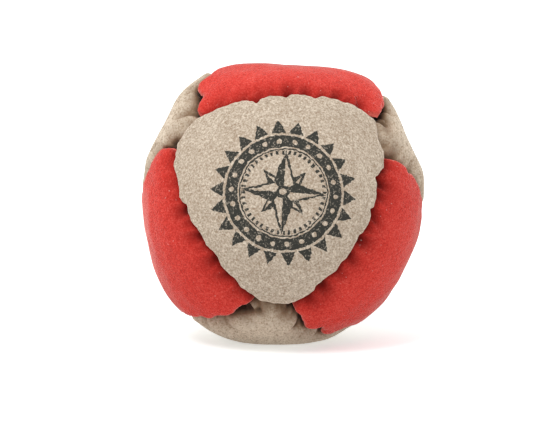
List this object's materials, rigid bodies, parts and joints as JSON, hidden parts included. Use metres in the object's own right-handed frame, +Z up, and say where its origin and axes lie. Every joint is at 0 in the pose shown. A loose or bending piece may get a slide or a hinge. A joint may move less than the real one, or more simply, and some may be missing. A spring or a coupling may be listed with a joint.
{
  "type": "footbag",
  "caption": "Small hand-sewn suede ball of rounded triangular tan and red panels, turned in and overcast at the seams and packed with pellets, for kicking games.",
  "frame": {"origin": "on the floor, under the middle of the bag's bounding box", "axes": "+Z up, -Y out of the front panel towards the viewer, +X to the viewer's right"},
  "size_m": [0.054, 0.0542, 0.0532],
  "materials": {
    "tan_suede": "matte napped suede, tan",
    "red_suede": "matte napped suede, red",
    "thread": "waxed polyester thread, black",
    "pellets": "loose plastic pellets, off-white"
  },
  "bodies": {
    "root": {"panel_tan_front": "tan_suede", "panel_tan_left": "tan_suede", "panel_tan_right": "tan_suede", "panel_tan_bottom": "tan_suede", "panel_red_top": "red_suede", "panel_red_left": "red_suede", "panel_red_right": "red_suede", "panel_red_back": "red_suede", "stitching_tan_front_to_red_top": "thread", "stitching_tan_front_to_red_left": "thread", "stitching_tan_front_to_red_right": "thread", "stitching_tan_left_to_red_top": "thread", "stitching_tan_left_to_red_left": "thread", "stitching_tan_left_to_red_back": "thread", "stitching_tan_right_to_red_top": "thread", "stitching_tan_right_to_red_right": "thread", "stitching_tan_right_to_red_back": "thread", "stitching_tan_bottom_to_red_left": "thread", "stitching_tan_bottom_to_red_right": "thread", "stitching_tan_bottom_to_red_back": "thread", "stitching_tan_front_to_tan_left": "thread", "stitching_tan_front_to_tan_right": "thread", "stitching_tan_front_to_tan_bottom": "thread", "stitching_tan_left_to_tan_right": "thread", "stitching_tan_left_to_tan_bottom": "thread", "stitching_tan_right_to_tan_bottom": "thread", "pellet_fill": "pellets"}
  },
  "joints": []
}
